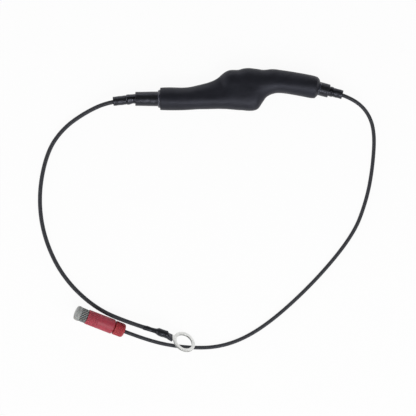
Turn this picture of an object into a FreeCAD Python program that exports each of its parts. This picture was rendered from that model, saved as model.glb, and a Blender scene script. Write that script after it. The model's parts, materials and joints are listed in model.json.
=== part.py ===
import FreeCAD
import Part
import math
import os

# In-line test lead: a screw-on wire tap, a lead, a heat-shrunk module that holds
# a capacitor and a resistor, a second lead and a ring terminal.
# Millimetres. +Z up, the floor at z = 0, +X along the module towards its signal end,
# the origin under the middle of the module.

# Fits
seat_gap = 0.03          # between pieces that touch and stay together
slide_gap = 0.05         # radial, between a cap and the spigot it slides on
lead_gap = 0.1           # radial, round a lead in a sleeve
floor_gap = 0.01         # under a tilted piece that rests on the floor
overrun = 1.0            # tools reach this far past what they cut

# Leads
ground_lead_diameter = 2.1
tap_lead_diameter = 1.9
strand_diameter = 1.2
component_wire_diameter = 0.8
arc_share = 0.45         # of a route's shorter run, taken by each arc beside it

# Capacitor
capacitor_x_low = -27.2
capacitor_length = 38.4
capacitor_radius = 3.7
capacitor_seal_thickness = 0.8
capacitor_sleeve_wall = 0.2
capacitor_sleeve_overhang = 0.2
capacitor_end = capacitor_x_low + capacitor_length

# Resistor, which starts beside the capacitor's last stretch
resistor_overlap = 5.7
resistor_x = capacitor_end - resistor_overlap
resistor_y = 4.585
resistor_z = 5.6
resistor_heading = -4.33
resistor_length = 34.0
resistor_core_radius = 2.9
resistor_cap_radius = 3.4
resistor_cap_length = 4.2
resistor_cap_end = 0.4
resistor_coating_radius = 3.8
resistor_end_x = resistor_x + resistor_length * math.cos(math.radians(resistor_heading))
resistor_end_y = resistor_y + resistor_length * math.sin(math.radians(resistor_heading))

# Heat-shrunk jacket of the module
corner_share = 0.47      # corner radius as a share of the section's smaller side
left_tube_y = -4.7
tube_z = 5.55
signal_stub_reach = 6.6  # from the resistor's end to the right sleeve's origin
signal_stub_drop = 1.67
signal_stub_x = resistor_end_x + signal_stub_reach
signal_end_back = 1.1    # the jacket ends this far before the stub's origin
signal_stub_heading = -15.0
signal_stub_y = resistor_end_y - signal_stub_drop

# Sections of the jacket: x, low y, high y, low z, high z, heading in degrees
jacket_sections = [
    (capacitor_x_low - 6.7, -10.3, 0.95, 0.05, 11.05, 0.0),
    (capacitor_x_low - 4.3, -10.4, 1.05, 0.0, 11.2, 0.0),
    (capacitor_x_low + 6.7, -10.3, 1.1, 0.0, 11.15, 0.0),
    (resistor_x - 21.0, -10.05, 2.05, 0.0, 11.1, 0.0),
    (resistor_x - 16.5, -9.85, 3.15, 0.0, 11.1, 0.0),
    (resistor_x - 12.5, -9.75, 4.8, 0.0, 11.1, 0.0),
    (resistor_x - 8.5, -9.75, 7.55, 0.0, 11.2, 0.0),
    (resistor_x - 5.5, -9.9, 9.3, 0.0, 11.25, 0.0),
    (resistor_x - 0.5, -10.3, 10.0, 0.0, 11.3, 0.0),
    (capacitor_end - 1.7, -10.6, 10.75, 0.0, 11.35, 0.0),
    (capacitor_end + 1.3, -10.75, 10.6, 0.0, 11.35, 0.0),
    (capacitor_end + 3.8, -9.65, 10.2, 0.0, 11.3, 0.0),
    (capacitor_end + 5.8, -7.0, 9.95, 0.0, 11.25, -1.0),
    (capacitor_end + 8.0, -4.4, 9.95, 0.0, 11.2, -2.0),
    (capacitor_end + 10.8, -2.7, 10.0, 0.0, 11.2, -3.0),
    (capacitor_end + 14.8, -1.95, 9.75, 0.0, 11.2, -6.0),
    (signal_stub_x - 10.0, -3.1, 8.1, 0.0, 11.15, -8.0),
    (signal_stub_x - 3.5, -4.55, 6.5, 0.15, 10.9, -10.0),
    (signal_stub_x - signal_end_back, -4.1, 5.0, 1.1, 10.0, signal_stub_heading),
]

# Ground end of the module: outer sleeve, crimp and wire sleeve
ground_sleeve_radius = 3.5
ground_sleeve_mouth_x = -46.3
ground_sleeve_inner_x = -31.4
ground_stub_heading = 186.5
ground_stub_z = 5.55
crimp_insulation_radius = 2.5
crimp_neck_radius = 2.05
dent_reach = 1.3
dent_floor = 0.7
wire_sleeve_edge = 0.25
outer_sleeve_edge = 0.35
sleeve_bore_radius = 2.55
ground_crimp_start = -0.55
ground_crimp_end = 4.75
ground_dent_shift = 0.4
ground_wire_sleeve_radius = 2.35
ground_wire_sleeve_length = 6.4
ground_glue_face_x = -35.1
ground_glue_inner_x = -31.6
ground_glue_radius = 4.67
ground_glue_bead = 0.5

# Signal end of the module
signal_sleeve_radius = 3.4
signal_stub_z = 5.6
signal_sleeve_back = -3.2
signal_sleeve_mouth = 4.6
signal_crimp_start = 0.5
signal_crimp_end = 7.05
signal_dent_reach = 1.1
signal_wire_sleeve_radius = 2.3
signal_wire_sleeve_length = 4.5
signal_glue_gap = 0.04   # to the jacket's end face, which bulges a little
signal_glue_length = 0.5
signal_glue_radius = 3.85

# Crimp barrels inside both ends
barrel_radius = 1.6
barrel_bore_radius = 0.65
ground_barrel_back = -1.8
ground_barrel_front = 4.4
signal_barrel_back = 1.0
signal_barrel_front = 6.0
lead_start_gap = 0.1
strand_reach = 2.6
first_run_ground = 9.0
first_run_signal = 8.5
ground_wire_reach = 1.4  # of the component wires into both crimps
signal_wire_reach = 1.8
signal_wire_turn = -4.6  # where the right wire bends towards its crimp

# Link between capacitor and resistor, in the valley between the two
link_y = -0.05
link_z = 9.0
link_x_low = capacitor_end - 5.4
link_length = 5.0
link_crimp_radius = 1.0
link_sleeve_wall = 0.25
link_wire_reach = 1.8
link_sleeve_overhang = 0.3
link_turn_reach = 2.1
link_turn_x_low = resistor_x - link_turn_reach
link_turn_x_high = capacitor_end + 2.8
link_room = 1.5          # free space round the link's wires
link_wall = 0.6          # kept between the link's space and its left turn
link_side_room = 0.5     # more space beside the link's sleeve
passage_reach = 2.0      # right sleeve's passage past the stub's origin
throat_back = 4.0        # resistor wire's way into the right sleeve

# Ring terminal for an M8 stud
ring_centre_x = -21.94
ring_centre_y = -126.22
ring_outer_radius = 5.9
ring_hole_radius = 4.2
ring_thickness = 0.85
tongue_length = 8.9      # from the ring's centre to the barrel
tongue_heading = -21.1
tongue_pitch = -14.1
tongue_roll = -44.56
tongue_shoulder = 3.5
tongue_shoulder_width = 5.5
tongue_neck = 6.0
tongue_neck_width = 4.2
tongue_root_width = 2.5
tongue_root_depth = 0.9
barrel_offset = 0.9      # of the barrel's axis from the plate's middle
ring_barrel_length = 4.8
ring_barrel_radius = 1.65
ring_barrel_bore_radius = 0.85
ring_barrel_floor = 1.2
ring_strand_gap = 0.65   # the strands end this far before the bore's floor
ring_barrel_heading = -16.5
ring_barrel_pitch = 0.0
ring_last_run = 15.0
barrel_sleeve_wall = 0.3
barrel_sleeve_front = 2.8
barrel_sleeve_front_width = 5.3
barrel_sleeve_front_height = 2.1
barrel_sleeve_tail_wall = 0.14
barrel_sleeve_tail = 8.4
barrel_sleeve_cone = 2.6

# Screw-on wire tap, sizes along its own axis from the grey cap's end
tap_end_x = -76.2
tap_end_y = -111.2
tap_heading = -21.8
tap_pitch = -11.0
tap_cap_length = 6.1
tap_cap_radius = 3.85
tap_cap_wall = 1.1
tap_cap_rim = 1.0
tap_slot_width = 2.2
tap_cap_face = 0.15      # depth of the slightly domed face, out to its share of the radius
tap_cap_face_share = 0.55
tap_cap_dome = 0.5       # depth of the rounded shoulder, and how far it stands in there
tap_cap_dome_drop = 0.45
body_gap = 0.12
body_length = 14.3
body_radius = 3.75
body_ribbed_length = 5.8
body_rim = 0.5           # left smooth before the ribs start
tap_edge = 0.3           # bevel of the body's edges
spigot_radius = 2.5
tap_space = 1.8
groove_length = 0.55
groove_radius = 3.3
end_spigot_radius = 2.6
end_spigot_length = 3.0
end_cap_length = 5.4
end_cap_radius = 3.5
end_cap_round = 1.1
end_cap_round_steps = 4
end_cap_gap = 0.1
end_cap_wall = 1.5
needle_radius = 0.45
needle_tip_gap = 0.5
needle_taper = 1.2
contact_seat_depth = 1.3
contact_flange_radius = 1.25
contact_flange_length = 1.1
contact_stem_radius = 0.8
contact_stem_length = 7.0
contact_cone_length = 2.0
contact_tip_radius = 0.15
body_bore_radius = 1.32
rib_count = 26
rib_depth = 0.16
rib_overlap = 0.05       # the grey cap's skin stands this far into its ribs
rib_root = 0.3           # the end cap's ribs reach this far into its skin
tap_lead_depth = 3.4
tap_last_run = 17.2

# Routes of the leads where they lie free: x, y, z, chosen point by point
ground_route_middle = [
    (-71.0, -11.1, 2.3),
    (-82.8, -19.4, 1.05),
    (-90.8, -31.3, 1.05),
    (-95.0, -52.3, 1.05),
    (-92.6, -73.3, 1.05),
    (-82.9, -93.7, 1.05),
    (-66.7, -109.2, 1.1),
]
tap_route_middle = [
    (69.3, -9.8, 2.4),
    (73.7, -20.6, 0.95),
    (72.5, -39.5, 0.95),
    (69.4, -55.6, 0.95),
    (62.8, -73.0, 0.95),
    (42.6, -97.3, 0.95),
    (17.6, -119.7, 0.95),
    (-2.2, -129.1, 0.95),
    (-22.5, -129.4, 0.95),
]


def vec(x, y, z):
    return FreeCAD.Vector(x, y, z)


def direction(heading, pitch=0.0):
    """Unit vector at a heading from +X and a pitch above the floor, in degrees."""
    flat = math.cos(math.radians(pitch))
    turn = math.radians(heading)
    return vec(flat * math.cos(turn), flat * math.sin(turn), math.sin(math.radians(pitch)))


def placed(shape, origin, heading, pitch=0.0, roll=0.0):
    """Turn a shape made along +X and move its origin."""
    shape.Placement = frame_at(origin, heading, pitch, roll)
    return shape


def frame_at(origin, heading, pitch=0.0, roll=0.0):
    turn = FreeCAD.Rotation(vec(0, 0, 1), heading)
    tip = FreeCAD.Rotation(vec(0, 1, 0), -pitch)
    spin = FreeCAD.Rotation(vec(1, 0, 0), roll)
    return FreeCAD.Placement(origin, turn.multiply(tip).multiply(spin))


def rod(radius, start, end):
    """Cylinder along +X from start to end."""
    return Part.makeCylinder(radius, end - start, vec(start, 0, 0), vec(1, 0, 0))


def tube(outer, inner, start, end):
    return rod(outer, start, end).cut(rod(inner, start, end))


def turned(profile):
    """Solid of revolution about the X axis from points (x, radius)."""
    points = [vec(x, r, 0) for x, r in profile]
    face = Part.Face(Part.makePolygon(points + [points[0]]))
    return face.revolve(vec(0, 0, 0), vec(1, 0, 0), 360)


def ribbed_rod(radius, start, end, count):
    """Rod along +X whose skin is cut into straight ribs."""
    points = []
    for i in range(2 * count):
        angle = math.pi * i / count
        reach = radius - rib_depth * (i % 2)
        points.append(vec(start, reach * math.cos(angle), reach * math.sin(angle)))
    face = Part.Face(Part.makePolygon(points + [points[0]]))
    return face.extrude(vec(end - start, 0, 0))


def route_radii(points):
    """Largest radius that each inner point of a cord's route allows."""
    radii = []
    for before, corner, after in zip(points, points[1:], points[2:]):
        shorter = min((corner - before).Length, (after - corner).Length)
        half_turn = (math.pi - (before - corner).getAngle(after - corner)) / 2
        radii.append(arc_share * shorter / math.tan(half_turn))
    return radii


def swept(points, radii, wire_radius):
    """Round wire along straight runs joined by tangent arcs, and its length."""
    at = points[0]
    disc = Part.Face(Part.Wire([Part.makeCircle(wire_radius, at, points[1] - at)]))
    pieces = []
    length = 0.0
    for before, corner, after, radius in zip(points, points[1:], points[2:], radii):
        back = (before - corner).normalize()
        ahead = (after - corner).normalize()
        turn = math.pi - back.getAngle(ahead)
        run = corner + back * (radius * math.tan(turn / 2)) - at
        inward = (back + ahead).normalize()
        centre = corner + inward * (radius / math.cos(turn / 2))
        axis = ahead.cross(back)
        pieces.append(disc.extrude(run))
        disc = disc.translated(run)
        pieces.append(disc.revolve(centre, axis, math.degrees(turn)))
        disc = disc.rotated(centre, axis, math.degrees(turn))
        length += run.Length + radius * turn
        at = corner + ahead * (radius * math.tan(turn / 2))
    pieces.append(disc.extrude(points[-1] - at))
    length += (points[-1] - at).Length
    return pieces[0].fuse(pieces[1:]), length


def bent_wire(points, wire_radius):
    """Stiff component wire, folded sharply at its corners."""
    ring = Part.Wire([Part.makeCircle(wire_radius, points[0], points[1] - points[0])])
    return Part.Wire(Part.makePolygon(points).Edges).makePipeShell([ring], True, False, 1)


def cord(name, points, diameter):
    """Free lead along its route, with its radii and its volume checked in print."""
    radii = route_radii(points)
    solid, length = swept(points, radii, diameter / 2)
    section = math.pi * diameter**2 / 4
    print(name, "length", round(length, 1), "volume ratio", round(solid.Volume / section / length, 4))
    print(name, "radii in diameters", [round(r / diameter, 1) for r in radii])
    print(name, "points", [tuple(round(c, 2) for c in p) for p in points])
    return solid


def save(name, shape):
    shape.exportStep("parts/" + name + ".step")
    box = shape.BoundBox
    low = (round(box.XMin, 2), round(box.YMin, 2), round(box.ZMin, 2))
    high = (round(box.XMax, 2), round(box.YMax, 2), round(box.ZMax, 2))
    print(name, len(shape.Solids), "solid(s), valid", shape.isValid(), low, high)


# Jacket: a loft through rounded sections, shrunk tight onto what it holds


def jacket_ring(section):
    """Closed outline of one section."""
    x, y_low, y_high, z_low, z_high, heading = section
    side = (y_high - y_low) / 2
    rise = (z_high - z_low) / 2
    corner = 2 * corner_share * min(side, rise)
    middle = vec(x, (y_low + y_high) / 2, (z_low + z_high) / 2)
    across = direction(heading + 90)
    up = vec(0, 0, 1)

    def at(u, v):
        return middle + across * u + up * v

    edges = []
    for su, sv in ((1, 1), (-1, 1), (-1, -1), (1, -1)):
        u_in = su * (side - corner)
        v_in = sv * (rise - corner)
        diagonal = corner * math.sqrt(0.5)
        on_side = at(su * side, v_in)
        on_level = at(u_in, sv * rise)
        bulge = at(u_in + su * diagonal, v_in + sv * diagonal)
        if su * sv > 0:
            edges.append(Part.Arc(on_side, bulge, on_level).toShape())
            edges.append(Part.LineSegment(on_level, at(-u_in, sv * rise)).toShape())
        else:
            edges.append(Part.Arc(on_level, bulge, on_side).toShape())
            edges.append(Part.LineSegment(on_side, at(su * side, -v_in)).toShape())
    return Part.Wire(edges)


def module_jacket():
    skin = Part.makeLoft([jacket_ring(section) for section in jacket_sections], True, True)
    open_end = jacket_sections[0][0] - overrun
    room = capacitor_sleeve_radius + seat_gap
    mouth = rod(ground_glue_radius + seat_gap, open_end, ground_glue_inner_x + seat_gap)
    capacitor_room = rod(room, open_end, link_turn_x_high + link_room)
    left_rooms = mouth.fuse(capacitor_room)
    left_rooms.translate(vec(0, left_tube_y, tube_z))
    resistor_room = rod(resistor_coating_radius + seat_gap, -2 * link_room, resistor_length + overrun)
    resistor_seat(resistor_room)
    x_low = link_turn_x_low - link_room + link_wall
    length = link_turn_x_high + link_room - x_low
    depth = link_z - tube_z + link_room
    width = 2 * (link_room + link_side_room)
    corner = vec(x_low, link_y - width / 2, tube_z)
    link_box = Part.makeBox(length, width, depth, corner)
    passage = rod(signal_sleeve_radius + seat_gap, signal_sleeve_back - seat_gap, passage_reach)
    throat = rod(barrel_radius, signal_sleeve_back - throat_back, 0.0)
    signal_stub(passage)
    signal_stub(throat)
    return skin.cut([left_rooms, resistor_room, link_box, passage, throat])


capacitor_sleeve_radius = capacitor_radius + seat_gap + capacitor_sleeve_wall


# Ends of the module


def ground_stub(shape):
    return placed(shape, ground_pivot, ground_stub_heading)


def signal_stub(shape):
    return placed(shape, signal_root, signal_stub_heading)


def on_line(origin, heading, pitch, reach):
    return origin + direction(heading, pitch) * reach


def crimp_insulation(start, end, dent):
    """Shrunk insulation over a crimp: full at its ends, drawn in where the tool bit."""
    neck = crimp_neck_radius
    full = crimp_insulation_radius
    outline = [
        (start, barrel_radius + seat_gap),
        (start, full),
        (dent - dent_reach, full),
        (dent - dent_floor, neck),
        (dent + dent_floor, neck),
        (dent + dent_reach, full),
        (end, full),
        (end, barrel_radius + seat_gap),
    ]
    return turned(outline)


def wire_sleeve(radius, lead_diameter, start, end):
    """Short sleeve with softened ends round a lead."""
    bore = lead_diameter / 2 + lead_gap
    edge = wire_sleeve_edge
    outline = [
        (start, bore),
        (start, radius - edge),
        (start + edge, radius),
        (end - edge, radius),
        (end, radius - edge),
        (end, bore),
    ]
    return turned(outline)


def crimp_barrel(start, end):
    return tube(barrel_radius, barrel_bore_radius, start, end)


def outer_sleeve(radius, start, end):
    edge = outer_sleeve_edge
    outline = [
        (start, sleeve_bore_radius),
        (start, radius),
        (end - edge, radius),
        (end, radius - edge),
        (end, sleeve_bore_radius),
    ]
    return turned(outline)


ground_pivot = vec(ground_sleeve_mouth_x, left_tube_y, ground_stub_z)
signal_root = vec(signal_stub_x, signal_stub_y, signal_stub_z)
ground_lead_start = ground_barrel_front + lead_start_gap
signal_lead_start = signal_barrel_front + lead_start_gap


def ground_end():
    sleeve_length = ground_sleeve_inner_x - ground_sleeve_mouth_x
    sleeve = outer_sleeve(ground_sleeve_radius, -sleeve_length, 0.0)
    save("ground_outer_sleeve", placed(sleeve, ground_pivot, 180.0))
    dent = (ground_crimp_start + ground_crimp_end) / 2 + ground_dent_shift
    insulation = crimp_insulation(ground_crimp_start, ground_crimp_end, dent)
    save("ground_crimp_insulation", ground_stub(insulation))
    start = ground_crimp_end + seat_gap
    sleeve = wire_sleeve(ground_wire_sleeve_radius, ground_lead_diameter, start, start + ground_wire_sleeve_length)
    save("ground_wire_sleeve", ground_stub(sleeve))
    save("ground_crimp_barrel", ground_stub(crimp_barrel(ground_barrel_back, ground_barrel_front)))
    radius = ground_glue_radius
    bead = ground_glue_bead
    bore = ground_sleeve_radius + seat_gap
    outline = [
        (ground_glue_face_x, bore),
        (ground_glue_face_x, radius - bead),
        (ground_glue_face_x + bead, radius),
        (ground_glue_inner_x, radius),
        (ground_glue_inner_x, bore),
    ]
    glue = turned(outline)
    glue.translate(vec(0, left_tube_y, tube_z))
    save("jacket_glue_ground_end", glue)


def signal_end():
    sleeve = outer_sleeve(signal_sleeve_radius, signal_sleeve_back, signal_sleeve_mouth)
    save("signal_outer_sleeve", signal_stub(sleeve))
    dent = signal_sleeve_mouth + signal_dent_reach
    insulation = crimp_insulation(signal_crimp_start, signal_crimp_end, dent)
    save("signal_crimp_insulation", signal_stub(insulation))
    start = signal_crimp_end + seat_gap
    sleeve = wire_sleeve(signal_wire_sleeve_radius, tap_lead_diameter, start, start + signal_wire_sleeve_length)
    save("signal_wire_sleeve", signal_stub(sleeve))
    save("signal_crimp_barrel", signal_stub(crimp_barrel(signal_barrel_back, signal_barrel_front)))
    bore = signal_sleeve_radius + seat_gap
    start = signal_glue_gap - signal_end_back
    glue = tube(signal_glue_radius, bore, start, start + signal_glue_length)
    save("jacket_glue_signal_end", signal_stub(glue))


# Parts inside the jacket


def capacitor():
    start = capacitor_x_low
    end = capacitor_end
    lift = vec(0, left_tube_y, tube_z)
    body = rod(capacitor_radius, start, end)
    body.translate(lift)
    save("capacitor_body", body)
    seal = capacitor_seal_thickness
    left = rod(capacitor_radius, start - seal, start)
    right = rod(capacitor_radius, end, end + seal)
    seals = Part.makeCompound([left, right])
    seals.translate(lift)
    save("capacitor_end_seals", seals)
    overhang = seal + capacitor_sleeve_overhang
    sleeve = tube(capacitor_sleeve_radius, capacitor_radius + seat_gap, start - overhang, end + overhang)
    sleeve.translate(lift)
    save("capacitor_sleeve", sleeve)
    wire = component_wire_diameter / 2
    crimp_depth = on_line(ground_pivot, ground_stub_heading, 0.0, ground_wire_reach)
    ground_wire = bent_wire([vec(start - seal, 0, 0) + lift, ground_pivot, crimp_depth], wire)
    link_end = link_x_low + link_length - link_wire_reach
    turn = link_turn_x_high
    link_wire = bent_wire(
        [
            vec(end + seal, 0, 0) + lift,
            vec(turn, 0, 0) + lift,
            vec(turn, link_y, link_z),
            vec(link_end, link_y, link_z),
        ],
        wire,
    )
    save("capacitor_leads", Part.makeCompound([ground_wire, link_wire]))


def resistor_seat(shape):
    return placed(shape, vec(resistor_x, resistor_y, resistor_z), resistor_heading)


def resistor():
    origin = vec(resistor_x, resistor_y, resistor_z)
    length = resistor_length
    plate = resistor_cap_end
    save("resistor_core", resistor_seat(rod(resistor_core_radius, plate, length - plate)))
    inner = resistor_core_radius + seat_gap
    reach = resistor_cap_length
    cups = []
    for near, far, floor in ((0.0, reach, plate), (length, length - reach, length - plate)):
        outline = [(near, 0.0), (near, resistor_cap_radius), (far, resistor_cap_radius), (far, inner)]
        outline += [(floor, inner), (floor, 0.0)]
        cups.append(turned(outline))
    save("resistor_end_caps", resistor_seat(Part.makeCompound(cups)))
    coating = tube(resistor_coating_radius, inner, reach + seat_gap, length - reach - seat_gap)
    save("resistor_coating", resistor_seat(coating))
    wire = component_wire_diameter / 2
    right_end = on_line(origin, resistor_heading, 0.0, length + 2 * seat_gap)
    right_turn = on_line(signal_root, signal_stub_heading, 0.0, signal_wire_turn)
    right_stop = on_line(signal_root, signal_stub_heading, 0.0, signal_barrel_back + signal_wire_reach)
    right_turn.z = right_end.z
    signal_wire = bent_wire([right_end, right_turn, right_stop], wire)
    left_turn = on_line(origin, resistor_heading, 0.0, -link_turn_reach)
    link_wire = bent_wire(
        [
            origin,
            left_turn,
            vec(left_turn.x, link_y, link_z),
            vec(link_x_low + link_wire_reach, link_y, link_z),
        ],
        wire,
    )
    save("resistor_leads", Part.makeCompound([signal_wire, link_wire]))


def link():
    lift = vec(0, link_y, link_z)
    hole = component_wire_diameter / 2 + seat_gap
    end = link_x_low + link_length
    crimp = tube(link_crimp_radius, hole, link_x_low, end)
    crimp.translate(lift)
    save("link_crimp", crimp)
    inner = link_crimp_radius + seat_gap
    overhang = link_sleeve_overhang
    sleeve = tube(inner + link_sleeve_wall, inner, link_x_low - overhang, end + overhang)
    sleeve.translate(lift)
    save("link_sleeve", sleeve)


# Ring terminal: its plate lies on the floor by its rim, the barrel points back to the lead

plate_frame = frame_at(vec(0, 0, 0), tongue_heading, tongue_pitch, tongue_roll)
plate_normal = plate_frame.Rotation.multVec(vec(0, 0, 1))
plate_slope = math.sqrt(1 - plate_normal.z**2)
ring_centre_z = ring_outer_radius * plate_slope + ring_thickness / 2 * plate_normal.z
ring_centre = vec(ring_centre_x, ring_centre_y, ring_centre_z)
barrel_front = on_line(ring_centre, tongue_heading, tongue_pitch, -tongue_length) + plate_normal * barrel_offset
barrel_rear = on_line(barrel_front, ring_barrel_heading, ring_barrel_pitch, -ring_barrel_length)


def on_plate(shape):
    return placed(shape, ring_centre, tongue_heading, tongue_pitch, tongue_roll)


def on_barrel(shape):
    return placed(shape, barrel_front, ring_barrel_heading, ring_barrel_pitch, tongue_roll)


def tongue(room):
    """Flat tongue between ring and barrel, made larger by some room all round."""
    half = ring_thickness / 2 + room
    places = [
        (-tongue_shoulder, tongue_shoulder_width / 2),
        (-tongue_neck, tongue_neck_width / 2),
        (-tongue_length, tongue_root_width / 2),
        (-tongue_length - tongue_root_depth - room, tongue_root_width / 2),
    ]
    one_side = [vec(x, width + room, -half) for x, width in places]
    other_side = [vec(x, -width - room, -half) for x, width in reversed(places)]
    outline = one_side + other_side
    return Part.Face(Part.makePolygon(outline + [outline[0]])).extrude(vec(0, 0, 2 * half))


def ring_terminal():
    plate = Part.makeCylinder(ring_outer_radius, ring_thickness, vec(0, 0, -ring_thickness / 2))
    hole_length = ring_thickness + 2 * overrun
    hole = Part.makeCylinder(ring_hole_radius, hole_length, vec(0, 0, -hole_length / 2))
    flat = on_plate(plate.fuse(tongue(0.0)).cut(hole))
    barrel = on_barrel(rod(ring_barrel_radius, -ring_barrel_length, 0.0))
    bore = on_barrel(rod(ring_barrel_bore_radius, -ring_barrel_length - overrun, -ring_barrel_floor))
    print("ring centre", [round(c, 4) for c in ring_centre], "normal", [round(c, 5) for c in plate_normal])
    print("barrel front", [round(c, 4) for c in barrel_front])
    save("ring_terminal", flat.fuse(barrel).cut(bore).removeSplitter())


def standing_oval(x, width, height):
    """Oval across the X axis."""
    if width > height:
        curve = Part.Ellipse(vec(0, 0, 0), width / 2, height / 2)
    else:
        curve = Part.Circle(vec(0, 0, 0), vec(0, 0, 1), width / 2)
    upright = FreeCAD.Rotation(vec(0, 1, 0), vec(0, 0, 1), vec(1, 0, 0), "ZXY")
    curve.transform(FreeCAD.Placement(vec(x, 0, 0), upright).toMatrix())
    return Part.Wire(curve.toShape())


def ring_barrel_sleeve():
    """Shrunk sleeve: flat on the tongue, full over the barrel, a cone, then close on the lead."""
    lead = ground_lead_diameter / 2 + lead_gap
    inner = ring_barrel_radius + seat_gap
    outer = inner + barrel_sleeve_wall
    tail = lead + barrel_sleeve_tail_wall
    length = ring_barrel_length
    cone = length + barrel_sleeve_cone
    end = length + barrel_sleeve_tail
    outline = [(0.0, 0.0), (0.0, outer), (-length, outer), (-cone, tail), (-end, tail), (-end, 0.0)]
    rear = on_barrel(turned(outline))
    rear_ring = on_barrel(standing_oval(0.0, 2 * outer, 2 * outer))
    front_x = barrel_sleeve_front - tongue_length
    front_ring = on_plate(standing_oval(front_x, barrel_sleeve_front_width, barrel_sleeve_front_height))
    front = Part.makeLoft([rear_ring, front_ring], True, True)
    barrel_room = on_barrel(rod(inner, -length - seat_gap, seat_gap))
    lead_room = on_barrel(rod(lead, -end - overrun, -length))
    sleeve = rear.fuse(front).cut([barrel_room, lead_room, on_plate(tongue(seat_gap))])
    save("ring_barrel_sleeve", sleeve)


# Screw-on wire tap: grey cap, red body with its needle contact, red end cap

body_start = tap_cap_length + body_gap
body_end = body_start + body_length
groove_end = body_end + groove_length
end_cap_start = groove_end + end_cap_gap
end_cap_end = end_cap_start + end_cap_length
spigot_tip = tap_cap_wall + tap_space
end_spigot_tip = groove_end + end_spigot_length
rest_x = end_cap_end - end_cap_round
tap_slope = math.sin(math.radians(-tap_pitch))
tap_rest_z = end_cap_radius * math.cos(math.radians(tap_pitch))
tap_origin = vec(tap_end_x, tap_end_y, tap_rest_z + rest_x * tap_slope + floor_gap)


def tap(shape):
    return placed(shape, tap_origin, tap_heading, tap_pitch)


def tap_cap():
    rim = tap_cap_rim
    radius = tap_cap_radius
    smooth = radius - rib_depth
    skin = ribbed_rod(radius, rim, tap_cap_length - rim / 2, rib_count)
    outline = [
        (0.0, 0.0),
        (tap_cap_face, radius * tap_cap_face_share),
        (tap_cap_dome, radius - tap_cap_dome_drop),
        (rim, smooth + rib_overlap),
        (tap_cap_length, smooth + rib_overlap),
        (tap_cap_length, 0.0),
    ]
    shell = skin.fuse(turned(outline))
    hollow = rod(spigot_radius + slide_gap, tap_cap_wall, tap_cap_length + overrun)
    slot_length = tap_cap_length + overrun - tap_cap_wall
    corner = vec(tap_cap_wall, -2 * radius, -tap_slot_width / 2)
    slot = Part.makeBox(slot_length, 4 * radius, tap_slot_width, corner)
    print("tap origin", [round(c, 4) for c in tap_origin])
    save("tap_cap", tap(shell.cut(hollow).cut(slot)))


def tap_body():
    edge = tap_edge
    outline = [
        (spigot_tip, 0.0),
        (spigot_tip, spigot_radius - edge),
        (spigot_tip + edge, spigot_radius),
        (body_start, spigot_radius),
        (body_start, body_radius - rib_depth),
        (body_start + body_ribbed_length, body_radius - rib_depth),
        (body_start + body_ribbed_length, body_radius),
        (body_end - edge, body_radius),
        (body_end, body_radius - edge),
        (body_end, groove_radius),
        (groove_end, groove_radius),
        (groove_end, end_spigot_radius),
        (end_spigot_tip, end_spigot_radius),
        (end_spigot_tip, 0.0),
    ]
    solid = turned(outline)
    ribs = ribbed_rod(body_radius, body_start + body_rim, body_start + body_ribbed_length, rib_count)
    solid = solid.fuse(ribs)
    needle_way = rod(needle_radius + seat_gap, spigot_tip - overrun, contact_seat_x + overrun)
    bore = rod(body_bore_radius, contact_seat_x, end_spigot_tip + overrun)
    save("tap_body", tap(solid.cut(needle_way).cut(bore)))


contact_seat_x = body_start + contact_seat_depth
contact_end_x = contact_seat_x + contact_flange_length + contact_stem_length + contact_cone_length


def tap_contact():
    tip = tap_cap_wall + needle_tip_gap
    flange = contact_seat_x + seat_gap
    stem = flange + contact_flange_length
    cone = stem + contact_stem_length
    outline = [
        (tip, 0.0),
        (tip + needle_taper, needle_radius),
        (flange, needle_radius),
        (flange, contact_flange_radius),
        (stem, contact_flange_radius),
        (stem, contact_stem_radius),
        (cone, contact_stem_radius),
        (cone + contact_cone_length, contact_tip_radius),
        (cone + contact_cone_length, 0.0),
    ]
    save("tap_contact", tap(turned(outline)))


def tap_end_cap():
    radius = end_cap_radius
    smooth = radius - rib_depth
    outline = [
        (end_cap_start, end_spigot_radius + slide_gap),
        (end_cap_start, smooth),
        (rest_x, smooth),
    ]
    steps = end_cap_round_steps
    for i in range(1, steps + 1):
        angle = math.pi / 2 * i / steps
        along = rest_x + end_cap_round * math.sin(angle)
        outline.append((along, smooth - end_cap_round * (1 - math.cos(angle))))
    hole = tap_lead_diameter / 2 + lead_gap
    shelf = end_cap_end - end_cap_wall
    outline += [(end_cap_end, hole), (shelf, hole), (shelf, end_spigot_radius + slide_gap)]
    ribs = ribbed_rod(radius, end_cap_start, rest_x, rib_count)
    ribs = ribs.cut(rod(smooth - rib_root, end_cap_start - overrun, rest_x + overrun))
    save("tap_end_cap", tap(turned(outline).fuse(ribs)))


# The two leads, whose ends run along the axes of the pieces that hold them

lead_stop_x = end_spigot_tip - tap_lead_depth


def ground_lead():
    points = [
        on_line(ground_pivot, ground_stub_heading, 0.0, ground_lead_start),
        on_line(ground_pivot, ground_stub_heading, 0.0, ground_lead_start + first_run_ground),
    ]
    points += [vec(*p) for p in ground_route_middle]
    stop = on_line(barrel_rear, ring_barrel_heading, ring_barrel_pitch, -lead_start_gap)
    points.append(on_line(stop, ring_barrel_heading, ring_barrel_pitch, -ring_last_run))
    points.append(stop)
    save("ground_lead", cord("ground_lead", points, ground_lead_diameter))
    strand = strand_diameter / 2
    module_strand = rod(strand, ground_lead_start - strand_reach, ground_lead_start)
    ring_strand_end = -ring_barrel_floor - ring_strand_gap
    ring_strand = on_barrel(rod(strand, -ring_barrel_length - lead_start_gap, ring_strand_end))
    both = Part.makeCompound([ground_stub(module_strand), ring_strand])
    save("ground_lead_strands", both)


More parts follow.
